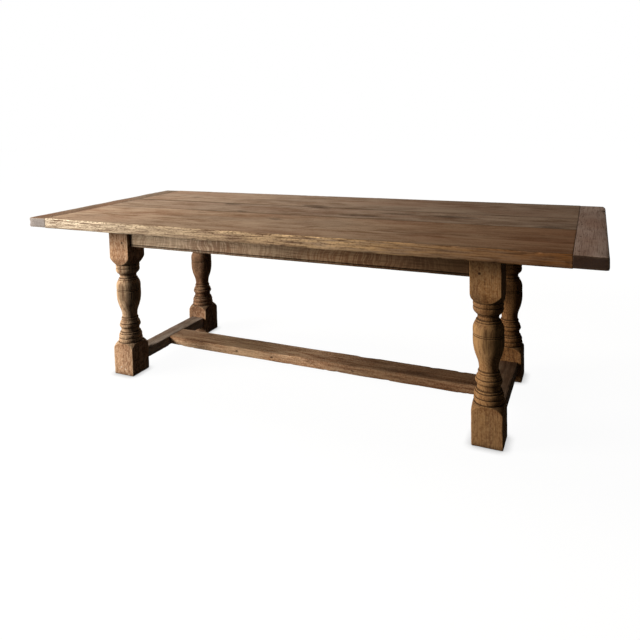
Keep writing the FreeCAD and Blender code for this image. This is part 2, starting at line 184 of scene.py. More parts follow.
oakLook = {  # shares of each pattern; a piece's own look changes some of them
    "lift": 0,  # paler or darker as a whole
    "base": 0.1,
    "streak": 1.1,
    "cloud": 1.1,
    "patch": 0.7,
    "mottle": 0,
    "ringShare": 0.28,
    "tint": 0.45,
    "wisp": 0.5,
    "pore": 0.5,
    "check": 0.4,
    "line": 0.4,
    "lineRub": 0.3,
    "fray": 0.3,
    "end": 0.8,
    # share of the painted light and shade along the table's length
    "paintedShadingShare": 0.2,
    "marks": [],
    "knot": 0.75,
    "tear": 1.5,  # of a mark's half sizes
    "markRise": 30,  # mm
    "wander": 26,  # mm
    "swell": 3,  # rings
    "fleck": 0.1,
    "fleckFrom": (0.46, 0.64),
    "fleckSize": (8, 55, 16),  # mm
    "fleckLean": 40,  # mm
    "rayTurn": 0,
    "rough": 0.5,
    "poreDull": 0.15,
    "soilDull": 0.2,
    "wax": 0.012,
    "waxRough": 0.38,
    "bump": 0.35,
    "bumpDepth": 0.35 * mm,
    "heights": (-1.2, 1.5, -2.5),  # pores, scuffs and checks
    "ringStops": [(0.0, "#404040"), (0.1, "#101010"), (0.36, "#d8d8d8"), (0.8, "#ffffff"), (1.0, "#606060")],
    "woodStops": [(0.12, "dark"), (0.5, "middle"), (0.92, "light")],
    "wearAndSheenStops": [(0.0, "rub"), (0.7, "rubMiddle"), (1.0, "rubFar")],
    # painted light and shade along the table's length, darker towards the right end
    "paintedShading": [(0.0, "#ffffff"), (0.45, "#f4efe8"), (0.7, "#cdb69e"), (1.0, "#8c6f54")],
}
tableReach = 1200 * mm
noiseMean = 0.5
seedShift = 1370  # mm along the grain from one piece's wood to the next


def grainNoise(add, vector, pattern, output=0):
    along, across, detail, rough = oakGrain[pattern]
    stretch = (1 / along, 1 / across, 1 / across)
    scaled = add("VectorMath", "MULTIPLY", {0: vector, 1: stretch})
    return add("TexNoise", None, {"Vector": scaled, "Scale": 1, "Detail": detail,
                                  "Roughness": rough}, out=output)


def oak(name, given):
    material, add = newMaterial(name)
    look = {**oakLook, **given}
    tones = {**oakTones, **look.get("tones", {})}
    woodStops = [(stop, tones[tone]) for stop, tone in look["woodStops"]]
    wearAndSheenStops = [(stop, tones[tone]) for stop, tone in look["wearAndSheenStops"]]
    coords = add("TexCoord", out=None)
    place = coords.outputs["Object"]
    shift = (look["seed"] * seedShift, -look["pith"][0], -look["pith"][1])
    along = add("Mapping", None, {"Vector": place, "Location": shift, "Rotation": grainTurns[look["grain"]],
                                  "Scale": [mmPerMetre] * 3})

    # marks of the boards: knots and stains lift the rings round them
    marked = 0
    ragged = grainNoise(add, along, "ragged", "Color") if look["marks"] else None
    for *centre, length, width, depth in look["marks"]:
        sizes = (length, width, depth)
        centred = add("Mapping", None, {"Vector": place, "Location": [-c / s for c, s in zip(centre, sizes)],
                                        "Scale": [mmPerMetre / s for s in sizes]})
        torn = add("VectorMath", "MULTIPLY_ADD", {0: ragged, 1: [look["tear"]] * 3, 2: centred})
        middle = add("VectorMath", "DISTANCE", {0: torn, 1: [look["tear"] * noiseMean] * 3}, out="Value")
        near = add("MapRange", {"interpolation_type": "SMOOTHSTEP"}, {0: middle, **oakSpans["mark"]})
        marked = add("Math", "MAXIMUM", {0: marked, 1: near})

    # growth rings, which wander and differ in width
    wander = grainNoise(add, along, "wander", "Color")
    drifted = add("VectorMath", "MULTIPLY_ADD",
                  {0: wander, 1: (0, look["wander"], look["wander"]), 2: along})
    crosswise = add("VectorMath", "MULTIPLY", {0: drifted, 1: (0, 1, 1)})
    radius = add("VectorMath", "LENGTH", {0: crosswise}, out="Value")
    if look["marks"]:
        radius = add("Math", "MULTIPLY_ADD", {0: marked, 1: look["markRise"], 2: radius})
    uneven = grainNoise(add, along, "uneven")
    swelled = add("Math", "MULTIPLY", {0: uneven, 1: look["swell"]})
    phase = add("Math", "MULTIPLY_ADD", {0: radius, 1: 1 / look["ring"], 2: swelled})
    season = add("Math", "FRACT", {0: phase})
    ringTone = add("ValToRGB", None, {0: season}, look["ringStops"])

    # pores lie in the early wood of each ring
    early = add("MapRange", None, {0: season, **oakSpans["earlyWood"]})
    dashes = add("MapRange", None, {0: grainNoise(add, along, "pore"), **oakSpans["pore"]})
    pores = add("Math", "MULTIPLY", {0: early, 1: dashes})

    # rays are thin sheets that stand on the rings, and show as fleck on a radial face
    parts = add("SeparateXYZ", None, {0: along}, out=None).outputs
    turn = add("Math", "ARCTAN2", {0: parts[2], 1: parts[1]})
    turn = add("Math", "SUBTRACT", {0: turn, 1: look["rayTurn"]})
    flat = add("CombineXYZ", None, {1: parts[1], 2: parts[2]})
    inside = add("VectorMath", "LENGTH", {0: flat}, out="Value")
    girth = add("Math", "MULTIPLY", {0: turn, 1: inside})
    rayPlace = add("CombineXYZ", None, {0: parts[0], 1: inside, 2: girth})
    bend = grainNoise(add, along, "fleckBend", "Color")
    bent = add("VectorMath", "MULTIPLY_ADD", {0: bend, 1: (look["fleckLean"], 0, 0), 2: rayPlace})
    raySpread = add("VectorMath", "DIVIDE", {0: bent, 1: look["fleckSize"]})
    rays = add("TexNoise", None, {"Vector": raySpread, "Scale": 1, "Detail": 1})
    start, full = look["fleckFrom"]
    fleck = add("MapRange", {"interpolation_type": "SMOOTHSTEP"},
                {0: rays, 1: start, 2: full, 3: 0, 4: look["fleck"]})
    axes = add("SeparateXYZ", None, {0: place}, out=None).outputs
    away = add("MapRange", None, {0: axes[0], 1: -tableReach, 2: tableReach})
    faded = add("MapRange", None, {0: away, **oakSpans["fleckFade"]})
    fleck = add("Math", "MULTIPLY", {0: fleck, 1: faded})
    if "turned" in look:  # the lathe cuts across the rays, so little fleck shows there
        low, high = look["turned"]
        lathed = add("Math", "COMPARE", {0: axes[2], 1: (high + low) / 2, 2: (high - low) / 2})
        spared = add("MapRange", None, {0: lathed, **oakSpans["lathed"]})
        fleck = add("Math", "MULTIPLY", {0: fleck, 1: spared})

    # wood colour from long streaks, broad patches, clouds, mottle and rings
    mixed = look["lift"] + look["base"] - noiseMean * (look["cloud"] + look["streak"] + look["mottle"])
    patterns = ("streak", "patch", "cloud", "mottle")
    sources = [(grainNoise(add, along, pattern), look[pattern]) for pattern in patterns]
    for source, weight in sources + [(ringTone, look["ringShare"])]:
        mixed = add("Math", "MULTIPLY_ADD", {0: source, 1: weight, 2: mixed})
    colour = add("ValToRGB", None, {0: mixed}, woodStops)

    coats = []  # what lies over that colour, in order: its share and its tone
    tint = add("SeparateColor", None, {0: grainNoise(add, along, "tint", "Color")}, out=None).outputs
    for hue, tone in ((tint[0], "grey"), (tint[1], "red")):
        share = add("MapRange", None, {0: hue, **oakSpans["tint"], 4: look["tint"]})
        coats.append((share, tone))
    wisp = grainNoise(add, along, "wisp")
    wisps = add("MapRange", None, {0: wisp, **oakSpans["wisp"], 4: look["wisp"]})
    poreShare = add("Math", "MULTIPLY", {0: pores, 1: look["pore"]})
    coats += [(wisps, "dark"), (fleck, "fleck"), (poreShare, "pore")]

    # drying checks: thin dark lines that come and go along the grain
    split = grainNoise(add, along, "check")
    split = add("Math", "SUBTRACT", {0: split, 1: noiseMean})
    split = add("Math", "ABSOLUTE", {0: split})
    checks = add("MapRange", None, {0: split, **oakSpans["check"], 3: look["check"]})
    present = add("MapRange", None, {0: tint[2], **oakSpans["checked"]})
    checks = add("Math", "MULTIPLY", {0: checks, 1: present})
    coats.append((checks, "check"))
    if look["marks"]:
        knotShare = add("MapRange", None, {0: marked, **oakSpans["knot"], 4: look["knot"]})
        knotGrain = grainNoise(add, along, "knotGrain")
        broken = add("MapRange", None, {0: knotGrain, **oakSpans["knotGrain"]})
        knotShare = add("Math", "MULTIPLY", {0: knotShare, 1: broken})
        coats.append((knotShare, "knot"))

    # end grain, rubbed arrises and painted sheen with lines and frays opened in them, and dirt with painted
    # shade in the hollows and under things
    facing = add("VectorMath", "DOT_PRODUCT",
                 {0: coords.outputs["Normal"], 1: grainAxes[look["grain"]]}, out="Value")
    facing = add("Math", "ABSOLUTE", {0: facing})
    endShare = add("MapRange", None, {0: facing, **oakSpans["end"], 4: look["end"]})
    # wear-and-sheen mask: rubbed arrises, and a painted highlight on the legs' turning, bellies and upward
    # faces
    rub = add("Attribute", {"attribute_name": "rub"}, out="Fac")
    rubbed = add("MapRange", None, {0: grainNoise(add, along, "rubStreak"), **oakSpans["rubStreak"]})
    wearAndSheenShare = add("Math", "MULTIPLY", {0: rub, 1: rubbed})
    wearAndSheenTone = add("ValToRGB", None, {0: away}, wearAndSheenStops)
    coats += [(endShare, "end"), (wearAndSheenShare, wearAndSheenTone)]
    lines = add("MapRange", None, {0: grainNoise(add, along, "line"), **oakSpans["line"]})
    frays = add("MapRange", None, {0: grainNoise(add, along, "fray"), **oakSpans["fray"]})
    fading = add("MapRange", None, {0: away, **oakSpans["frayFade"]})
    frays = add("Math", "MULTIPLY", {0: frays, 1: fading})
    for opened, bare, scrubbed in ((lines, look["line"], look["lineRub"]), (frays, 0, look["fray"])):
        share = add("Math", "MULTIPLY_ADD", {0: rub, 1: scrubbed, 2: bare})
        share = add("Math", "MULTIPLY", {0: opened, 1: share})
        coats.append((share, "dark"))
    # dirt-and-shade mask: real dirt at seams, joints and trodden tops, and painted shade under and in the
    # hollows of the turning, on the legs' heads, on the apron's top and bead and along the front edge's
    # lower arris
    soil = add("Attribute", {"attribute_name": "soil"}, out="Fac")
    coats.append((soil, "soil"))
    for share, tone in coats:
        laid = hexColour(tones[tone]) if isinstance(tone, str) else tone
        colour = add("Mix", {"data_type": "RGBA"}, {0: share, 6: colour, 7: laid}, out=2)

    # painted light and shade along the table: a ramp by place along its length darkens the wood, mostly
    # towards the right end
    paintedShading = add("ValToRGB", None, {0: away}, look["paintedShading"])
    colour = add("Mix", {"data_type": "RGBA", "blend_type": "MULTIPLY"},
                 {0: look["paintedShadingShare"], 6: colour, 7: paintedShading}, out=2)

    # waxed surface: satin, duller in the pores and under the dirt-and-shade mask
    dull = look["rough"]
    for source, weight in ((pores, look["poreDull"]), (soil, look["soilDull"])):
        dull = add("Math", "MULTIPLY_ADD", {0: source, 1: weight, 2: dull})
    height = ringTone
    for source, weight in zip((pores, grainNoise(add, along, "scuff"), checks), look["heights"]):
        height = add("Math", "MULTIPLY_ADD", {0: source, 1: weight, 2: height})
    bump = add("Bump", None, {"Strength": look["bump"], "Distance": look["bumpDepth"], "Height": height})
    shader = add("BsdfPrincipled", None, {"Base Color": colour, "Roughness": dull, "Specular IOR Level": 0,
                                          "Coat Weight": look["wax"], "Coat Roughness": look["waxRough"],
                                          "Normal": bump, "Coat Normal": bump})
    add("OutputMaterial", None, {"Surface": shader})
    return material


# Sawn timbers: a beveled block with rows of vertices to wear
timberWear = {
    "straight": 0.999,  # share of its length by which an edge counts as lying along an axis
    "fade": 3,  # reaches past which nothing is worn
    "rubLeast": 0.45,
    "arrisSeed": 0.37,
    "chipSeed": 11,
    "soilEven": 0.8,
    "soilSwing": 0.4,
    "skin": 2 * mm,  # of the upper face, which has swelled unevenly
    "swellX": 0.34,
    "swellY": 0.11,
    "swellSeed": 5.3,
}


def timber(low, high, cut, lengthwise):
    bm = newBmesh()[0]
    bmesh.ops.create_cube(bm, size=1)
    bmesh.ops.scale(bm, vec=high - low, verts=bm.verts)
    bmesh.ops.translate(bm, vec=(low + high) / 2, verts=bm.verts)
    bmesh.ops.bevel(bm, geom=bm.edges[:], offset=cut["bevel"], segments=3, profile=0.5, affect="EDGES",
                    material=-1)
    for axis in range(3):
        normal = Vector([float(i == axis) for i in range(3)])
        for inset in cut["loops"]:
            for place in (low[axis] + inset, high[axis] - inset):
                everything = bm.verts[:] + bm.edges[:] + bm.faces[:]
                bmesh.ops.bisect_plane(bm, geom=everything, plane_co=normal * place, plane_no=normal)
    steps = [cut["acrossStep"], cut["acrossStep"], cut["upStep"]]
    steps[lengthwise] = cut["alongStep"]
    straight = timberWear["straight"]
    for axis, step in enumerate(steps):
        spans = [(edge, edge.verts[1].co - edge.verts[0].co) for edge in bm.edges]
        runs = [edge for edge, span in spans if abs(span[axis]) > max(step, straight * span.length)]
        if runs:
            cuts = int(runs[0].calc_length() / step)
            bmesh.ops.subdivide_edges(bm, edges=runs, cuts=cuts, use_grid_fill=True)
    return bm


def gapTo(place, face, low, high):
    axis, side = face
    return abs(place[axis] - (high if side > 0 else low)[axis])


def between(pairs, place):
    for (start, a), (end, b) in zip(pairs, pairs[1:]):
        if place < end:
            return a + (b - a) * max(0, (place - start) / (end - start))
    return pairs[-1][1]


def wearArris(bm, low, high, arrises, wear, seed):
    rub = bm.verts.layers.float["rub"]
    for number, (faceA, faceB) in enumerate(arrises):
        lengthwise = 3 - faceA[0] - faceB[0]  # the axis that is left
        key = seed + number * timberWear["arrisSeed"]
        for v in bm.verts:
            away = gapTo(v.co, faceA, low, high) + gapTo(v.co, faceB, low, high)
            if away > timberWear["fade"] * max(wear["reach"], wear["rubReach"]):
                continue
            close = math.exp(-(away / wear["reach"]) ** 2)
            place = v.co[lengthwise]
            soft = 0.5 + 0.5 * ripple(place, wear["softLength"], key)
            chipped = ripple(place, wear["chipLength"], key + timberWear["chipSeed"])
            chip = max(0, chipped - wear["chipFrom"])
            depth = close * (wear["soft"] * soft + wear["chip"] * chip)
            v.co[faceA[0]] -= faceA[1] * depth
            v.co[faceB[0]] -= faceB[1] * depth
            pale = math.exp(-(away / wear["rubReach"]) ** 2)
            v[rub] = max(v[rub], min(1, pale * wear["rub"] * (timberWear["rubLeast"] + soft)))


def soilNear(bm, axis, place, joint, seed):
    soil = bm.verts.layers.float["soil"]
    for v in bm.verts:
        gap = abs(v.co[axis] - place)
        if gap < joint["reach"]:
            along = v.co[1 - axis]
            uneven = timberWear["soilEven"] + timberWear["soilSwing"] * ripple(along, joint["length"], seed)
            amount = between(joint["soil"], along) * uneven
            v[soil] = max(v[soil], min(1, amount) * (1 - gap / joint["reach"]))


def unevenTop(bm, high, depth, seed):
    w = timberWear
    for v in bm.verts:
        if high.z - v.co.z < w["skin"]:
            spot = Vector((v.co.x / w["swellX"], v.co.y / w["swellY"], seed * w["swellSeed"]))
            v.co.z -= depth * (0.5 + 0.5 * noise.noise(spot))


# Top: three boards between two cleats
topWear = {"reach": 3 * mm, "soft": 1 * mm, "softLength": 0.11, "chip": 8 * mm, "chipLength": 0.03,
           "chipFrom": 0.36, "rubReach": 5 * mm, "rub": 0.8}
topMarks = [  # place and half sizes in mm; the depth takes the mark through the board
    (-509, 113, 770, 60, 24, 90), (-70, 170, 770, 105, 40, 90), (-20, 122, 770, 70, 20, 90),
    (255, -30, 770, 130, 32, 90), (400, 58, 770, 110, 28, 90), (650, 45, 770, 120, 36, 90),
    (-75, -216, 770, 44, 24, 90), (-506, -145, 770, 36, 14, 90), (-338, -70, 770, 44, 16, 90),
    (1050, -70, 770, 70, 26, 90), (-863, 288, 770, 60, 22, 90),
    (-229, -510, 731, 9, 12, 6), (-17, -510, 745, 14, 12, 8), (-49, -510, 739, 10, 12, 6),
    (193, -510, 743, 16, 12, 4), (395, -510, 742, 22, 12, 7), (441, -510, 738, 12, 12, 6),
    (1124, -510, 745, 9, 14, 16), (-541, -510, 745, 26, 12, 4),
]
topBoards = {
    "top_board_front": {
        "seed": 1, "pith": (-330, 640), "ring": 5.5, "fleck": 0.12, "lift": 0.13, "paintedShadingShare": 0.65,
        "arrises": [(front, over), (front, under)],
        # ramp of painted light and shade along the front board
        "paintedShading": [(0.1, "#ffffff"), (0.3, "#eeeae4"), (0.46, "#e7e1da"), (0.62, "#eee6dc"),
                (0.79, "#cab398"), (0.92, "#ae8048")],
        "tones": {"middle": "#8a6f59", "light": "#b09a84", "red": "#85583f", "rub": "#fff0d4",
                  "rubMiddle": "#f2ca94", "rubFar": "#b07830"}},
    "top_board_middle": {
        "seed": 2, "pith": (30, 660), "ring": 5.0, "fleck": 0.08, "lift": 0.12, "paintedShadingShare": 0.5,
        "arrises": [],
        # ramp of painted light and shade along the middle board
        "paintedShading": [(0.12, "#e0deda"), (0.3, "#c8c5c2"), (0.46, "#dedad6"), (0.62, "#dad6d0"),
                (0.79, "#cec8c0"), (0.95, "#dcd6ce")],
        "tones": {"middle": "#876f5b", "light": "#ad9986"}},
    "top_board_back": {
        "seed": 3, "pith": (350, 600), "ring": 6.0, "fleck": 0.1, "lift": 0.2, "paintedShadingShare": 0.5,
        "arrises": [(back, over), (back, under)],
        # ramp of painted light and shade along the back board
        "paintedShading": [(0.12, "#ebe9e6"), (0.46, "#f1eeea"), (0.62, "#d4cec6"), (0.79, "#bab0a4"),
                (0.95, "#cbc2b8")],
        "tones": {"middle": "#876f5b", "light": "#ad9986"}},
}
topLook = {"grain": "x", "marks": topMarks, "streak": 0.75, "cloud": 1.3, "wisp": 0.25, "tint": 0.3,
           "mottle": 0.5, "line": 0.2, "lineRub": 0.7, "fray": 0.8}
topCut = {"bevel": 1.2 * mm, "loops": (4 * mm, 10 * mm), "alongStep": 7 * mm, "acrossStep": 30 * mm,
          "upStep": 12 * mm}
topUneven = 0.7 * mm
nearSeam = {"reach": 7 * mm, "length": 0.2,
            "soil": [(-1.2, 0.5), (-0.7, 0.85), (0.2, 0.95), (0.6, 0.6), (1.2, 0.5)]}
farSeam = {"reach": 9 * mm, "length": 0.2, "soil": [(-1.2, 1.1), (0.2, 1.1), (0.6, 0.7), (1.2, 0.5)]}
cleatJoint = {"reach": 2.4 * mm, "length": 0.08, "soil": [(-0.6, 0.7), (0.6, 0.7)]}
seamGap = 0.4 * mm
edgeScrub = {
    "depth": 3 * mm,
    "pale": [(-1.14, 1.1), (-0.8, 1), (-0.5, 0.7), (-0.2, 0.85), (0.1, 1), (0.4, 0.95), (0.6, 0.65),
             (0.75, 0.55), (1.14, 0.7)],  # how much scrubbed wood shows, by place along the edge
    "paleBelow": 0.6,
    "dark": 0.85,  # painted shade along the lower arris, with old wax
    "darkLength": 0.08,
    "darkSeed": 3,
    "darkMore": 0.8,
    "darkFall": 7,
    "margin": [(-1.14, 0.2), (0.4, 0.25), (0.9, 0.5)],  # a darker strip of the top beside the edge
    "marginReach": 24 * mm,
}


def scrubEdge(bm, low, high, side, seed):
    soil, rub = bm.verts.layers.float["soil"], bm.verts.layers.float["rub"]
    e = edgeScrub
    for v in bm.verts:
        gap = gapTo(v.co, side, low, high)
        if e["depth"] < gap < e["marginReach"] and high.z - v.co.z < timberWear["skin"]:
            v[soil] = between(e["margin"], v.co.x) * (1 - gap / e["marginReach"])
        if gap > e["depth"]:
            continue
        up = (v.co.z - low.z) / (high.z - low.z)
        v[rub] = max(v[rub], between(e["pale"], v.co.x) * (e["paleBelow"] + (1 - e["paleBelow"]) * up))
        # painted shade and old wax along the lower arris of the edge
        dark = min(1, max(0, ripple(v.co.x, e["darkLength"], seed + e["darkSeed"]) + e["darkMore"]))
        v[soil] = max(v[soil], e["dark"] * dark * max(0, 1 - e["darkFall"] * up))


def makeTop():
    boardLow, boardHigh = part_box("cleat_left")[1].x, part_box("cleat_right")[0].x
    for node, look in topBoards.items():
        low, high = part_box(node)
        low.x, high.x = boardLow + seamGap, boardHigh - seamGap
        seams = [side for side in (front, back) if (side, over) not in look["arrises"]]
        low.y += seamGap * (front in seams)
        high.y -= seamGap * (back in seams)
        bm = timber(low, high, topCut, 0)
        wearArris(bm, low, high, look["arrises"], topWear, look["seed"])
        unevenTop(bm, high, topUneven, look["seed"])
        for side in seams:
            seam = low.y if side == front else high.y
            soilNear(bm, 1, seam, nearSeam if seam < 0 else farSeam, look["seed"])
        for end in (low.x, high.x):
            soilNear(bm, 0, end, cleatJoint, look["seed"] + end)
        for side in (front, back):
            if side not in seams:
                scrubEdge(bm, low, high, side, look["seed"])
        addPiece(node, bm, oak("oak " + node, {**topLook, **look}))
    print("top boards made")


cleatWear = {"reach": 6 * mm, "soft": 3.4 * mm, "softLength": 0.11, "chip": 8 * mm, "chipLength": 0.03,
             "chipFrom": 0.36, "rubReach": 5 * mm, "rub": 0.2}
cleats = {
    "cleat_left": {
        "seed": 4, "pith": (1320, 640), "fleck": 0.2, "lift": -0.1, "outside": left,
        "tones": {"dark": "#4e4238", "middle": "#716153", "light": "#958473", "end": "#96908c"}},
    "cleat_right": {
        "seed": 5, "pith": (-1340, 650), "fleck": 0.35, "lift": 0.58, "outside": right, "cloud": 0.8,
        "streak": 0.6, "end": 0.9, "tones": {"light": "#b5a094", "end": "#321e14"}},
}
cleatLook = {"grain": "y", "ring": 4.5}


def makeCleats():
    for node, look in cleats.items():
        low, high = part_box(node)
        outside = look["outside"]
        bm = timber(low, high, topCut, 1)
        arrises = [(side, edge) for side in (front, back, outside) for edge in (over, under)]
        arrises += [(side, outside) for side in (front, back)]
        wearArris(bm, low, high, arrises, cleatWear, look["seed"])
        unevenTop(bm, high, topUneven, look["seed"])
        soilNear(bm, 0, low.x if outside == right else high.x, cleatJoint, look["seed"])
        addPiece(node, bm, oak("oak " + node, {**cleatLook, **look}))
    print("cleats made")


# Legs: an outline spun round, then cut back to the square of its blocks
turning = {
    "footBlock": 125 * mm,
    "headBlock": 158 * mm,
    "vaseFrom": 270 * mm,
    "stock": 1.6,  # radius of the blocks before they are cut square, in half widths
    "core": 0.5,
    "footRows": [z * mm for z in (0.6, 1.4, 2.6, 4.2, 6.5, 10)],
    "footSteps": 26,
    "headSteps": 40,
    "steps": 144,
    "finest": 1.7 * mm,
    "shares": (  # height share, radius share, bulge share, or a curve's two pulls first
        (0.067, 0.984, 0.10), (0.067, 0.940, 0), (0.109, 0.937, 0.13), (0.109, 0.902, 0),
        (0.116, 0.902, 0), (0.116, 0.926, 0), (0.155, 0.881, 0.13), (0.155, 0.818, 0), (0.160, 0.818, 0),
        (0.160, 0.842, 0), (0.173, 0.828, 0.15), (0.173, 0.779, 0), (0.229, 0.786, -0.09),
        (0.229, 0.814, 0), (0.265, 0.818, 0.17), (0.265, 0.782, 0), (0.272, 0.782, 0), (0.272, 0.804, 0),
        (0.288, 0.818, 0.290, 0.691, 0.308, 0.688, 0), (0.308, 0.660, 0), (0.313, 0.660, 0),
        (0.313, 0.681, 0), (0.329, 0.674, 0.18), (0.329, 0.632, 0),
        (0.445, 0.558, 0.446, 1.046, 0.630, 0.988, 0), (0.630, 0.951, 0), (0.636, 0.951, 0),
        (0.636, 0.975, 0), (0.645, 0.975, 0.10), (0.645, 0.951, 0), (0.651, 0.951, 0), (0.651, 0.988, 0),
        (0.683, 0.984, 0.705, 1.032, 0.748, 0.814, 0), (0.748, 0.775, 0), (0.753, 0.775, 0),
        (0.753, 0.789, 0), (0.766, 0.751, 0.16), (0.766, 0.705, 0), (0.810, 0.698, -0.05),
        (0.810, 0.747, 0), (0.817, 0.747, 0), (0.817, 0.779, 0), (0.850, 0.965, 0.10),
        (0.876, 0.954, 0.06), (0.876, 0.919, 0), (0.883, 0.919, 0), (0.883, 0.951, 0),
        (0.915, 0.951, 0.08), (0.915, 0.926, 0), (0.923, 0.926, 0), (0.923, 0.984, 0),
        (1.000, math.sqrt(2), 0.04)),
}
legWear = {
    "arris": 3 * mm, "arrisMore": 4.5 * mm, "arrisLength": 0.05, "arrisSeed": 0.61, "arrisCrowd": 0.15,
    "arrisRub": 0.8, "arrisFrom": 1.18, "arrisSpan": 0.2, "arrisEven": 0.4,
    "foot": 9 * mm, "footEven": 0.6, "footTurn": 0.5, "footSoil": 0.55, "footReach": 20 * mm,
    # headSoil darkens the head towards the top: painted shade of the table top
    "headSoil": 0.72, "headReach": 130 * mm, "dent": 0.5 * mm, "dentLength": 0.028, "dentMore": 0.2,
    "hollowSpan": 6 * mm, "hollowDepth": 1.1 * mm, "hollowDirtAndShade": 0.68, "paintedUnderShade": 0.6, "underFrom": 0.35,
    "dustAndSheenLow": 0.4, "dustAndSheenHigh": 0.3, "crease": 2.5 * mm, "creaseRub": 0.7, "shoulder": 6 * mm,
    "shoulderSoil": 0.5, "pegSoil": 0.6, "pegReach": 13 * mm, "belly": 0.9, "bellyFrom": 0.65,
    "bellyTo": 470 * mm,
}
legs = {
    "leg_front_left": {
        # paintedSheen: a painted sheen over this leg's turning
        "seed": 6, "pith": (-340, 900), "lift": 0.02, "paintedSheen": 0.75, "side": "left",
        "marks": [(-861, -353, 38, 6, 9, 5), (-838, -353, 30, 5, 9, 4), (-819, -353, 9, 5, 9, 4),
                  (-873, -353, 28, 4, 9, 4)]},
    "leg_front_right": {
        "seed": 7, "pith": (-250, -800), "lift": 0.1, "fleck": 0.9, "scuffed": 0.3, "side": "right"},
    # the back legs' lower lifts darken them as painted shade
    "leg_back_left": {
        "seed": 8, "pith": (260, 800), "lift": -0.3, "fleck": 0.25, "belly": 0.1, "side": "left"},
    "leg_back_right": {
        "seed": 9, "pith": (340, -880), "lift": -0.2, "belly": 0.1, "side": "right"},
}
legLook = {
    "grain": "z", "ring": 4.5, "fleck": 0.5, "fleckFrom": (0.48, 0.6), "fleckLean": 24, "ringShare": 0.14,
    "cloud": 0.8, "wisp": 0.25, "tint": 0.3, "check": 0.35, "paintedShadingShare": 0.35, "knot": 1, "mottle": 1.1,
    "streak": 0.6, "line": 0.25, "turned": (130 * mm, 560 * mm)}
legSides = {  # the left legs' paler tones are painted light, the right legs' warmer tones painted warm shade
    "left": {"fleckSize": (20, 14, 8),
             "tones": {"dark": "#634633", "middle": "#a87f5f", "light": "#dcb592", "fleck": "#e2c09e",
                       "rub": "#e8c8a0", "knot": "#e2d3be"}},
    "right": {"fleckSize": (13, 10, 4),
              "tones": {"dark": "#583a22", "middle": "#a6774a", "light": "#d8aa74", "fleck": "#cda475",
                        "rubMiddle": "#d6aa74", "rubFar": "#d6aa74"}},
}


def legOutline(half, height):
    wide, core = turning["stock"] * half, turning["core"] * half
    foot, footRows, footSteps = turning["footBlock"], turning["footRows"], turning["footSteps"]
    head, headSteps = turning["headBlock"], turning["headSteps"]
    stretch = height - head - foot
    points = [(0.0, 0.0), (core, 0.0), (wide, 0.0)] + [(wide, z) for z in footRows]
    rise = foot - footRows[-1]
    points += [(wide, footRows[-1] + rise * i / footSteps) for i in range(1, footSteps + 1)]
    start = (half * math.sqrt(2), foot)
    points.append(start)
    for *pulls, heightShare, radiusShare, bulge in turning["shares"]:
        end = (half * radiusShare, foot + stretch * heightShare)
        across, up = end[0] - start[0], end[1] - start[1]
        count = max(1, math.ceil(math.hypot(across, up) / turning["finest"]))
        for i in range(1, count + 1):
            t = i / count
            if pulls:
                pull = [(half * r, foot + stretch * h) for h, r in (pulls[:2], pulls[2:])]
                weights = ((1 - t) ** 3, 3 * t * (1 - t) ** 2, 3 * t * t * (1 - t), t ** 3)
                corners = (start, *pull, end)
                points.append(tuple(sum(w * c[k] for w, c in zip(weights, corners)) for k in (0, 1)))
            else:
                swell = 4 * t * (1 - t) * bulge
                points.append((start[0] + across * t + up * swell, start[1] + up * t - across * swell))
        start = end
    points += [(wide, height - head + head * i / headSteps) for i in range(headSteps + 1)]
    return points + [(core, height), (0.0, height)]


def hollowAt(points, index):
    near = [p[0] for p in points if abs(p[1] - points[index][1]) < legWear["hollowSpan"]]
    return sum(near) / len(near) - points[index][0]


def facingUp(points, index):
    below, above = points[max(0, index - 1)], points[min(len(points) - 1, index + 1)]
    return (below[0] - above[0]) / max(1e-6, math.hypot(above[0] - below[0], above[1] - below[1]))


def roundedSquare(angle, half, corner):
    turn = math.pi / 2
    a = abs((angle + turn / 2) % turn - turn / 2)
    c, s = math.cos(a), math.sin(a)
    inner = half - corner
    if half * s / c <= inner:
        return half / c
    return inner * (c + s) + math.sqrt(max(0, (inner * (c + s)) ** 2 - 2 * inner ** 2 + corner ** 2))


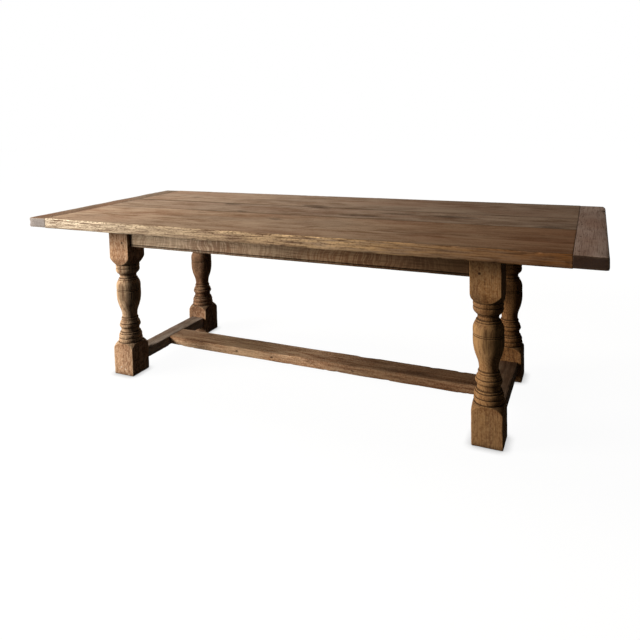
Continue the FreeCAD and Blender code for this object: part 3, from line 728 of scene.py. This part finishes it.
def makeLegs():
    w = legWear
    driven = pegPlaces()
    pegs = [peg for name in ("long_apron_pegs", "end_apron_pegs") for peg, outward in driven[name]]
    for node, place in legs.items():
        low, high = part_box(node)
        centre = (low + high) / 2
        half, height, seed = (high.x - low.x) / 2, high.z, place["seed"]
        points = legOutline(half, height)
        bm, soil, rub = newBmesh()
        chain = []
        for i, (radius, z) in enumerate(points):
            v = bm.verts.new((radius, 0, z))
            if radius < half * math.sqrt(2):
                hollow = hollowAt(points, i) if radius < half else 0
                upward = facingUp(points, i)
                # dark in the hollows of the turning: wax dirt and painted shade
                v[soil] = w["hollowDirtAndShade"] * min(1, max(0, hollow / w["hollowDepth"]))
                # painted shade on the downward faces of the turning
                downward = max(0, -upward - w["underFrom"]) / (1 - w["underFrom"])
                v[soil] = max(v[soil], w["paintedUnderShade"] * downward)
                # paler on the upward faces of the turning: dust and a painted highlight
                v[rub] = w["dustAndSheenLow" if z < turning["vaseFrom"] else "dustAndSheenHigh"] * max(0, upward)
                # painted highlight on the vase's belly, and painted sheen over the whole turning where a leg
                # gives it, kept off its dark hollows
                if turning["vaseFrom"] < z < w["bellyTo"]:
                    swell = (radius / half - w["bellyFrom"]) / (1 - w["bellyFrom"])
                    v[rub] = max(v[rub], place.get("belly", w["belly"]) * swell)
                v[rub] = max(v[rub], place.get("paintedSheen", 0)) * (1 - v[soil])
            chain.append(v)
        edges = [bm.edges.new(pair) for pair in zip(chain, chain[1:])]
        bmesh.ops.spin(bm, geom=chain + edges, cent=(0, 0, 0), axis=(0, 0, 1), dvec=(0, 0, 0),
                       angle=2 * math.pi, steps=turning["steps"], use_merge=True)
        for v in bm.verts:
            radius = math.hypot(v.co.x, v.co.y)
            if radius < mm:
                v.co.x, v.co.y = centre.x, centre.y
                continue
            angle = math.atan2(v.co.y, v.co.x)
            angle += w["arrisCrowd"] * math.sin(4 * angle)  # crowds the rows towards the arrises
            z = v.co.z
            quarter = math.floor(angle / (math.pi / 2))
            worn = max(0, ripple(z, w["arrisLength"], seed + quarter * w["arrisSeed"]))
            corner = w["arris"] + w["arrisMore"] * worn
            edge = w["foot"] * (w["footEven"] + (1 - w["footEven"]) * ripple(angle, w["footTurn"], seed))
            lift = max(0, 1 - z / edge)
            inset = edge * (1 - math.sqrt(1 - lift * lift))
            square = roundedSquare(angle, half - inset, corner)
            past = radius - square
            if past > 0:
                flat = roundedSquare(angle, half, 0)
                cornerwise = min(1, max(0, (flat / half - w["arrisFrom"]) / w["arrisSpan"]))
                v[rub] = w["arrisRub"] * cornerwise * (w["arrisEven"] + (1 - w["arrisEven"]) * worn)
                v[rub] = max(v[rub], w["creaseRub"] * max(0, 1 - past / w["crease"]))
                if z < turning["footBlock"]:
                    v[rub] = max(v[rub], place.get("scuffed", 0))
                radius = square
            elif past > -w["shoulder"] and z > turning["vaseFrom"]:
                v[soil] = max(v[soil], w["shoulderSoil"] * (1 + past / w["shoulder"]))
            spot = Vector((math.cos(angle) * radius, math.sin(angle) * radius, z + seed))
            dent = noise.noise(spot / w["dentLength"])
            radius -= w["dent"] * max(0, dent + w["dentMore"])
            v.co.x, v.co.y = centre.x + radius * math.cos(angle), centre.y + radius * math.sin(angle)
            # darker near the pegs and the floor with dirt, and towards the top of the head with painted
            # shade of the table top
            pegGap = min((v.co - peg).length for peg in pegs)
            for part, gap in (("peg", pegGap), ("foot", z), ("head", height - z)):
                v[soil] = max(v[soil], w[part + "Soil"] * max(0, 1 - gap / w[part + "Reach"]))
        look = {**legLook, **legSides[place["side"]], **place}
        addPiece(node, bm, oak("oak " + node, look))
    print("legs made")


# Aprons: a board with a scratched groove and a bead at its lower edge
apronShape = {"bead": 9 * mm, "beadRound": 4 * mm, "groove": 3 * mm, "grooveDepth": 1.8 * mm, "lip": 1 * mm,
              "flatFrom": 1.5 * mm, "arcSteps": 6, "rows": 9, "step": 7 * mm, "bite": 3 * mm}
apronWear = {
    "grooveDirtAndShade": 0.85, "beadShade": 0.45, "beadZoneDepth": 5 * mm, "beadZoneEdge": 0.5 * mm, "shadeUnderTop": 0.5,
    "topReach": 5 * mm, "endSoil": 0.8, "endReach": 6 * mm, "waveUp": 14 * mm, "waveDepth": 10 * mm,
    "waveLength": 0.06, "waveFrom": 0.1, "waveLift": 1.6 * mm, "waveIn": 0.8 * mm, "skin": 3 * mm,
    "dent": 0.35 * mm, "dentAlong": 0.12, "dentUp": 0.05,
}
aprons = {
    "apron_front": {"grain": "x", "seed": 10, "pith": (-344, 60), "outside": front},
    "apron_back": {"grain": "x", "seed": 11, "pith": (340, 70), "outside": back},
    "apron_left": {"grain": "y", "seed": 12, "pith": (880, 60), "outside": left},
    "apron_right": {"grain": "y", "seed": 13, "pith": (-880, 60), "outside": right},
}
apronLook = {
    "ring": 4.0, "fleck": 0.66, "fleckFrom": (0.45, 0.6), "fleckSize": (5.5, 60, 14), "fleckLean": 65,
    "rayTurn": math.pi / 2, "ringShare": 0.2, "cloud": 0.7, "wisp": 0.3, "lift": 0.46, "paintedShadingShare": 1,
    "tones": {"middle": "#91745a", "light": "#ccb094", "fleck": "#f0d8b8"},
    # ramp of painted light and shade along the apron, darker towards the right end
    "paintedShading": [(0.2, "#dddcd9"), (0.31, "#ffffff"), (0.42, "#fefaf4"), (0.52, "#d4ccc2"), (0.63, "#e0ceb8"),
            (0.73, "#a39180"), (0.8, "#80705f")]}


def apronSection(height, thickness):
    a = apronShape
    bead, arcSteps, rows = a["beadRound"], a["arcSteps"], a["rows"]
    points = [(thickness, 0.0)]
    for i in range(arcSteps + 1):
        turn = math.pi / 2 * i / arcSteps
        points.append((bead * (1 - math.sin(turn)), bead * (1 - math.cos(turn))))
    points.append((0.0, a["bead"] - a["lip"]))
    for i in range(arcSteps + 1):
        t = i / arcSteps
        points.append((a["grooveDepth"] * math.sin(math.pi * t), a["bead"] + a["groove"] * t))
    start = a["bead"] + a["groove"] + a["flatFrom"]
    points += [(0.0, start + (height - start) * i / rows) for i in range(rows + 1)]
    return points + [(thickness, height)]


def makeAprons():
    a, w = apronShape, apronWear
    for node, look in aprons.items():
        low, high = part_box(node)
        axis, side = look["outside"]
        lengthwise = 1 - axis
        farLeg = "leg_front_right" if lengthwise == 0 else "leg_back_left"
        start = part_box("leg_front_left")[1][lengthwise] - a["bite"]
        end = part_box(farLeg)[0][lengthwise] + a["bite"]
        face = (high if side > 0 else low)[axis]
        bm, soil = newBmesh()[:2]
        ring = []
        for inward, up in apronSection(high.z - low.z, high[axis] - low[axis]):
            co = Vector((0, 0, low.z + up))
            co[axis] = face - side * inward
            co[lengthwise] = start
            v = bm.verts.new(co)
            # painted shade on the bead, and dirt with painted shade in the groove
            if inward < w["beadZoneDepth"] and up < a["bead"] + a["groove"] + w["beadZoneEdge"]:
                v[soil] = w["beadShade" if up < a["bead"] - w["beadZoneEdge"] else "grooveDirtAndShade"]
            ring.append(v)
        section = bm.faces.new(ring)
        pulled = bmesh.ops.extrude_face_region(bm, geom=[section])["geom"]
        reach = Vector((0, 0, 0))
        reach[lengthwise] = end - start
        bmesh.ops.translate(bm, vec=reach, verts=[g for g in pulled if isinstance(g, bmesh.types.BMVert)])
        spans = [(e, e.verts[1].co - e.verts[0].co) for e in bm.edges]
        runs = [e for e, span in spans if abs(span[lengthwise]) > a["step"]]
        bmesh.ops.subdivide_edges(bm, edges=runs, cuts=int((end - start) / a["step"]), use_grid_fill=True)
        for v in bm.verts:
            along = v.co[lengthwise]
            up = v.co.z - low.z
            outer = abs(v.co[axis] - face)
            if up < w["waveUp"] and outer < w["waveDepth"]:
                wave = max(0, ripple(along, w["waveLength"], look["seed"]) - w["waveFrom"])
                v.co.z += w["waveLift"] * wave * max(0, 1 - up / w["waveUp"])
                v.co[axis] -= side * w["waveIn"] * wave
            if outer < w["skin"]:
                spot = Vector((along / w["dentAlong"], up / w["dentUp"], look["seed"]))
                v.co[axis] -= side * w["dent"] * (0.5 + 0.5 * noise.noise(spot))
                # painted shadow of the top's front edge along the apron's top
                v[soil] = max(v[soil], w["shadeUnderTop"] * max(0, 1 - (high.z - v.co.z) / w["topReach"]))
            for stop in (start, end):
                fromLeg = abs(along - stop) - a["bite"]
                v[soil] = max(v[soil], w["endSoil"] * max(0, 1 - fromLeg / w["endReach"]))
        addPiece(node, bm, oak("oak " + node, {**apronLook, **look}))
    print("aprons made")


# Stretchers: trodden timbers, worn along their upper arrises
stretcherWear = {"reach": 4.5 * mm, "soft": 2 * mm, "softLength": 0.13, "chip": 7 * mm, "chipLength": 0.045,
                 "chipFrom": 0.25, "rubReach": 4 * mm, "rub": 0.15}
lowWear = {"reach": 5 * mm, "soft": 1.6 * mm, "softLength": 0.1, "chip": 5 * mm, "chipLength": 0.03,
           "chipFrom": 0.3, "rubReach": 4 * mm, "rub": 0.3}
stretchers = {
    "centre_stretcher": {
        "grain": "x", "seed": 14, "pith": (-40, -60), "ring": 5, "check": 0.6, "mottle": 1.2, "knot": 1,
        "lift": 0.14, "paintedShadingShare": 1, "trodden": 0.42, "ends": ("end_stretcher_left", "end_stretcher_right"),
        "marks": [(-400, -59, 70, 10, 12, 6), (-205, -59, 70, 10, 12, 6), (211, -59, 68, 9, 12, 6)],
        "tones": {"dark": "#6b4a34", "middle": "#c2926c", "light": "#f2cca4"},
        # ramp of painted light and shade along the stretcher: lighter where the front left leg's shadow
        # falls, darker towards the right end
        "paintedShading": [(0.25, "#ffffff"), (0.37, "#dad8d4"), (0.5, "#ffffff"), (0.62, "#b6aea6"),
                (0.73, "#aea49c")]},
    "end_stretcher_left": {
        "grain": "y", "seed": 15, "pith": (860, -40), "ring": 5, "lift": 0.2, "trodden": 0.45,
        "ends": ("leg_front_left", "leg_back_left"), "outside": left,
        "tones": {"dark": "#5d4c40", "middle": "#94816f", "light": "#c0b0a0"}},
    "end_stretcher_right": {
        "grain": "y", "seed": 16, "pith": (-860, -40), "ring": 5, "trodden": 0.45,
        "ends": ("leg_front_left", "leg_back_left"), "outside": right},
}
stretcherCut = {"bevel": 1.4 * mm, "loops": (5 * mm, 8 * mm, 12 * mm), "alongStep": 7 * mm,
                "acrossStep": 20 * mm, "upStep": 14 * mm}
tread = {
    "uneven": 1.6 * mm, "bite": 3 * mm, "underSeed": 5, "skin": 3 * mm, "even": 0.6, "spotX": 0.17,
    "spotY": 0.05, "edgeDown": 8 * mm, "edgeRub": 0.7, "edgeReach": 5 * mm, "lineShade": 0.8,
    "lineInset": 9 * mm, "lineHalf": 3 * mm, "endSoil": 0.7, "endReach": 7 * mm,
}
endRelief = {"height": 5 * mm, "length": 130 * mm}


def makeStretchers():
    t = tread
    for node, look in stretchers.items():
        low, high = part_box(node)
        lengthwise = 0 if look["grain"] == "x" else 1
        low[lengthwise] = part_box(look["ends"][0])[1][lengthwise] - t["bite"]
        high[lengthwise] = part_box(look["ends"][1])[0][lengthwise] + t["bite"]
        bm = timber(low, high, stretcherCut, lengthwise)
        sides = (front, back) if lengthwise == 0 else (left, right)
        wear = stretcherWear if lengthwise == 0 else lowWear
        wearArris(bm, low, high, [(side, over) for side in sides], wear, look["seed"])
        wearArris(bm, low, high, [(side, under) for side in sides], lowWear, look["seed"] + t["underSeed"])
        unevenTop(bm, high, t["uneven"], look["seed"])
        soil, rub = bm.verts.layers.float["soil"], bm.verts.layers.float["rub"]
        for v in bm.verts:
            down = high.z - v.co.z
            if "outside" in look and down < t["edgeDown"]:
                inset = gapTo(v.co, look["outside"], low, high)
                # painted shadow line along the top, a little in from the outer arris
                fromLine = abs(inset - t["lineInset"])
                v[soil] = max(v[soil], t["lineShade"] * max(0, 1 - fromLine / t["lineHalf"]))
                v[rub] = max(v[rub], t["edgeRub"] * max(0, 1 - inset / t["edgeReach"]))
            if down < t["skin"]:
                spot = Vector((v.co.x / t["spotX"], v.co.y / t["spotY"], look["seed"]))
                v[soil] = max(v[soil], look["trodden"] * (t["even"] + (1 - t["even"]) * noise.noise(spot)))
            fromEnd = min(v.co[lengthwise] - low[lengthwise], high[lengthwise] - v.co[lengthwise])
            if lengthwise == 0 and fromEnd < endRelief["length"]:
                share = down / (high.z - low.z)
                v.co.z += share * endRelief["height"] * (1 - fromEnd / endRelief["length"])
            v[soil] = max(v[soil], t["endSoil"] * max(0, 1 - (fromEnd - t["bite"]) / t["endReach"]))
        addPiece(node, bm, oak("oak " + node, look))
    print("stretchers made")


# Riven pegs, a little proud of the faces that they are driven through
pegShape = {"sides": 9, "radius": 5 * mm, "cleatRadius": 4.5 * mm, "taper": 0.94, "proud": 0.7 * mm,
            "length": 7 * mm, "round": 0.6 * mm, "turn": 1.3, "cleatSink": 0.4 * mm,
            "cleatShares": (-0.89, -0.42, 0.04, 0.42, 0.82)}
pegLook = {"grain": "x", "seed": 17, "pith": (0, 0), "ring": 2.5, "fleck": 0, "rough": 0.6,
           "tones": {"dark": "#241810", "middle": "#3a281a", "light": "#523a26", "end": "#2e2015"}}


def pegPlaces():
    names = ("long_apron_pegs", "end_apron_pegs", "end_stretcher_pegs", "centre_stretcher_pegs",
             "cleat_pegs")
    rows = {name: [] for name in names}
    radius, cleatRadius = pegShape["radius"], pegShape["cleatRadius"]
    for a in (-1, 1):
        for b in (-1, 1):
            for name, outward in (("long_apron_pegs", (0, b, 0)), ("end_apron_pegs", (a, 0, 0))):
                low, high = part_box(name)
                inset = radius * Vector([outward[k] == 0 for k in (0, 1)])
                for z in (low.z + radius, high.z - radius):
                    place = Vector((a * (high.x - inset.x), b * (high.y - inset.y), z))
                    rows[name].append((place, Vector(outward)))
            low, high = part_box("end_stretcher_pegs")
            place = Vector((a * high.x, b * (high.y - radius), (low.z + high.z) / 2))
            rows["end_stretcher_pegs"].append((place, Vector((a, 0, 0))))
            low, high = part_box("centre_stretcher_pegs")
            place = Vector((a * (high.x - radius), b * (high.y - radius), low.z))
            rows["centre_stretcher_pegs"].append((place, Vector((0, 0, -1))))
        low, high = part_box("cleat_pegs")
        for share in pegShape["cleatShares"]:
            place = Vector((a * (high.x - cleatRadius), share * cadHigh.y, high.z - pegShape["cleatSink"]))
            rows["cleat_pegs"].append((place, Vector((0, 0, 1))))
    return rows


def makePegs():
    p = pegShape
    dark = oak("dark riven oak pegs", pegLook)
    for node, places in pegPlaces().items():
        bm = newBmesh()[0]
        radius = p["cleatRadius"] if node == "cleat_pegs" else p["radius"]
        for i, (place, outward) in enumerate(places):
            made = bmesh.ops.create_cone(bm, cap_ends=True, segments=p["sides"], radius1=radius,
                                         radius2=p["taper"] * radius, depth=p["length"])["verts"]
            rim = [e for e in bm.edges if all(v in made and v.co.z > 0 for v in e.verts)]
            made += bmesh.ops.bevel(bm, geom=rim, offset=p["round"], segments=2, profile=0.5,
                                    affect="EDGES", material=-1)["verts"]
            sink = outward * (p["proud"] - p["length"] / 2)
            spun = Matrix.Rotation(i * p["turn"], 4, "Z")
            turn = outward.to_track_quat("Z", "Y").to_matrix().to_4x4() @ spun
            whole = list({v for v in made if v.is_valid})
            bmesh.ops.transform(bm, matrix=Matrix.Translation(place + sink) @ turn, verts=whole)
        addPiece(node, bm, dark)
    print("pegs made")


# Pieces that stay as the frame has them, under the top
innerLook = {"grain": "y", "seed": 18, "pith": (40, 560), "ring": 4, "rough": 0.7}
steelLook = {"bloom": 6, "colours": [(0.42, "#6f6b66"), (0.62, "#5a4433")], "metallic": 0.85, "rough": 0.5}


def dressInside():
    plain = oak("bare oak under the top", innerLook)
    steel, add = newMaterial("dull steel screws")  # grey, with a brown bloom of rust
    place = add("TexCoord", out="Object")
    bloom = add("TexNoise", None, {"Vector": place, "Scale": mmPerMetre / steelLook["bloom"], "Detail": 3})
    colour = add("ValToRGB", None, {0: bloom}, steelLook["colours"])
    shader = add("BsdfPrincipled", None, {"Base Color": colour, "Metallic": steelLook["metallic"],
                                          "Roughness": steelLook["rough"]})
    add("OutputMaterial", None, {"Surface": shader})
    wooden = ("middle_bearer", "top_buttons", "loose_tongue_front", "loose_tongue_back")
    for node, material in [(node, plain) for node in wooden] + [("button_screws", steel)]:
        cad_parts[node].data.materials.clear()
        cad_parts[node].data.materials.append(material)
    print("inside dressed")


# Floor and world: white to the camera and in gloss. The floor keeps the table's shadow, and the
# world lights the table only with a weak fill
stageLook = {"floorSide": 40, "whiteNear": 0.965, "nearReach": 1.7, "farReach": 3.4, "floor": "#464543",
             "contact": 35 * mm, "contactFrom": 0.4, "contactShare": 0.55, "contactSamples": 8,
             "fill": "#d4d2ce", "fillStrength": 0.035, "white": "#ffffff"}


def seenDirectly(add):
    rays = add("LightPath", out=None).outputs
    seen = rays["Is Camera Ray"]
    for kind in ("Is Glossy Ray", "Is Transmission Ray"):
        seen = add("Math", "MAXIMUM", {0: seen, 1: rays[kind]})
    return seen


def makeStage():
    s = stageLook
    bm = bmesh.new()
    bmesh.ops.create_grid(bm, x_segments=1, y_segments=1, size=s["floorSide"] / 2)
    mesh = bpy.data.meshes.new("floor")
    bm.to_mesh(mesh)
    bm.free()
    floor = bpy.data.objects.new("floor", mesh)
    bpy.context.scene.collection.objects.link(floor)
    floor.visible_diffuse = False  # throws no light back up under the table
    material, add = newMaterial("pale studio floor")
    place = add("TexCoord", out="Object")
    away = add("VectorMath", "LENGTH", {0: place}, out="Value")
    glow = add("MapRange", {"interpolation_type": "SMOOTHSTEP"},
               {0: away, 1: s["nearReach"], 2: s["farReach"], 3: s["whiteNear"], 4: 1})
    # painted contact shade: the floor's white glow is dimmed close to the table by an ambient occlusion mask
    paintedContactShade = add("AmbientOcclusion", {"samples": s["contactSamples"]},
                   {"Distance": s["contact"]}, out="AO")
    paintedContactShade = add("MapRange", None, {0: paintedContactShade, 1: s["contactFrom"], 2: 1, 3: s["contactShare"], 4: 1})
    for share in (paintedContactShade, seenDirectly(add)):
        glow = add("Math", "MULTIPLY", {0: glow, 1: share})
    lit = add("BsdfDiffuse", None, {"Color": hexColour(s["floor"])})
    white = add("Emission", None, {"Color": hexColour(s["white"]), "Strength": glow})
    both = add("AddShader", None, {0: lit, 1: white})
    add("OutputMaterial", None, {"Surface": both})
    mesh.materials.append(material)

    world = bpy.data.worlds.new("white studio")
    bpy.context.scene.world = world
    world.use_nodes = True
    world.node_tree.nodes.clear()
    add = functools.partial(addNode, world.node_tree)
    fill = add("Background", None, {"Color": hexColour(s["fill"]), "Strength": s["fillStrength"]})
    white = add("Background", None, {"Color": hexColour(s["white"]), "Strength": 1})
    mixed = add("MixShader", None, {0: seenDirectly(add), 1: fill, 2: white})
    add("OutputWorld", None, {"Surface": mixed})
    print("stage made")


# Lamps: a window at the front left, a soft light above the left end and a low one behind
lamps = {
    "window": {"place": (-3.8, -2.75, 1.55), "aim": (0, 0, 0.5), "size": (2.2, 1.7), "watts": 335,
               "colour": "#fffaf4"},
    "skylight": {"place": (-2.5, 0.1, 4), "aim": (-2, 0.1, 0), "size": (1.8, 1.8), "watts": 150,
                 "colour": "#fff6ec"},
    "behind": {"place": (-1.2, 3.4, 0.62), "aim": (0, 0, 0.4), "size": (1.6, 0.8), "watts": 55,
               "colour": "#fff4e6"},
}


def makeLamps():
    for name, lamp in lamps.items():
        data = bpy.data.lights.new(name, "AREA")
        data.shape = "RECTANGLE"
        data.size, data.size_y = lamp["size"]
        data.energy = lamp["watts"]
        data.color = hexColour(lamp["colour"])[:3]
        light = bpy.data.objects.new(name, data)
        light.location = lamp["place"]
        light.rotation_euler = (Vector(lamp["aim"]) - light.location).to_track_quat("-Z", "Y").to_euler()
        bpy.context.scene.collection.objects.link(light)
    print("lamps made")


# Camera where the photograph was taken from; the picture was cropped, so its axis is off the middle
view = {"place": (1.2042, -2.5168, 1.2300), "yaw": 24.599, "pitch": 3.436, "roll": -1.464, "imageSide": 640,
        "focalPixels": 603.43, "axisRow": 149.02, "sensor": 36}


def makeCamera():
    data = bpy.data.cameras.new("camera")
    data.sensor_width = view["sensor"]
    data.lens = view["sensor"] * view["focalPixels"] / view["imageSide"]
    data.shift_y = (view["axisRow"] - view["imageSide"] / 2) / view["imageSide"]
    camera = bpy.data.objects.new("camera", data)
    yaw, pitch, roll = (math.radians(view[k]) for k in ("yaw", "pitch", "roll"))
    ahead = Vector((-math.sin(yaw) * math.cos(pitch), math.cos(yaw) * math.cos(pitch), -math.sin(pitch)))
    level = Vector((math.cos(yaw), math.sin(yaw), 0))
    up = level.cross(ahead)
    side = math.cos(roll) * level + math.sin(roll) * up
    upright = math.cos(roll) * up - math.sin(roll) * level
    turned = Matrix((side, upright, -ahead)).transposed().to_4x4()
    camera.matrix_world = Matrix.Translation(view["place"]) @ turned
    bpy.context.scene.collection.objects.link(camera)
    bpy.context.scene.camera = camera
    print("camera made")


makeTop()
makeCleats()
makeLegs()
makeAprons()
makeStretchers()
makePegs()
dressInside()
makeStage()
makeLamps()
makeCamera()
bpy.context.scene.view_settings.view_transform = "Standard"
